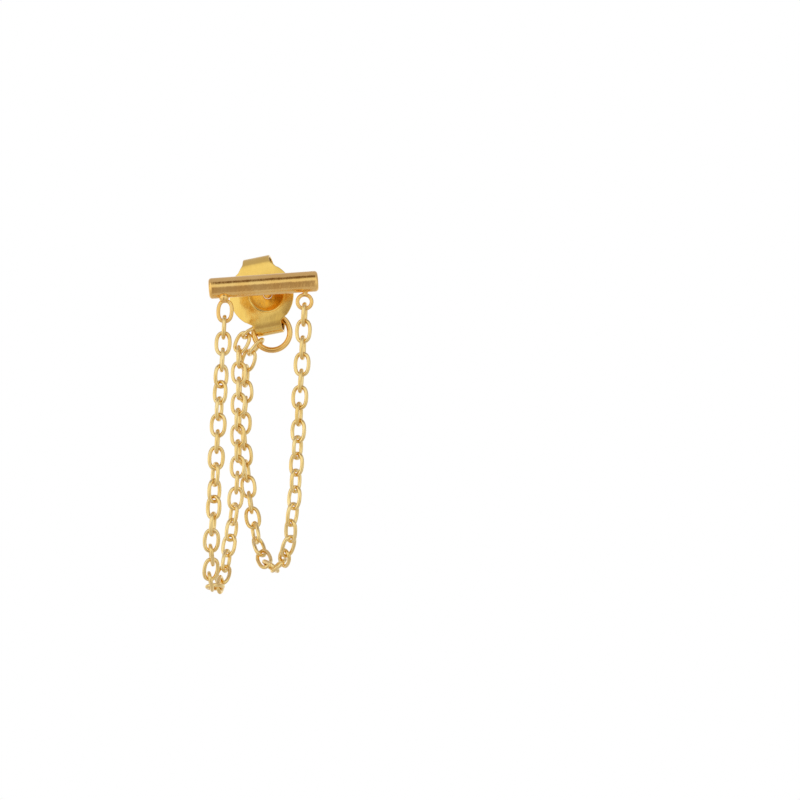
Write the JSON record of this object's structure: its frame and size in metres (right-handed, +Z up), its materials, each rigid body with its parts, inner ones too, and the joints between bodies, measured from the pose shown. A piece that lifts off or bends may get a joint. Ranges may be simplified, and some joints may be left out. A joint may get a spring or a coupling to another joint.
{
  "type": "chain bar earring",
  "caption": "Stud earring: a round bar on an ear post, with fine cable chains that loop from both ends of the bar to a jump ring on the butterfly ear nut",
  "frame": {"origin": "On the axis of the ear post, in the middle of the gap for the ear lobe between the bar and the nut's plate, where the earring pins on.", "axes": "+Z points up, against the pull of the hanging chains; +Y runs along the post from the bar at the front to the nut at the back; +X runs to the right along the bar as seen from the front."},
  "size_m": [0.01, 0.0114, 0.0318],
  "materials": {
    "bar_gold": "polished yellow gold with fine drawn lines",
    "nut_gold": "polished stamped yellow gold sheet",
    "ring_gold": "polished yellow gold wire",
    "chain_gold": "polished yellow gold wire links"
  },
  "bodies": {
    "root": {"bar_stud": "bar_gold", "clutch": "nut_gold", "jump_ring": "ring_gold", "chain_left": "chain_gold", "chain_right": "chain_gold"}
  },
  "joints": []
}
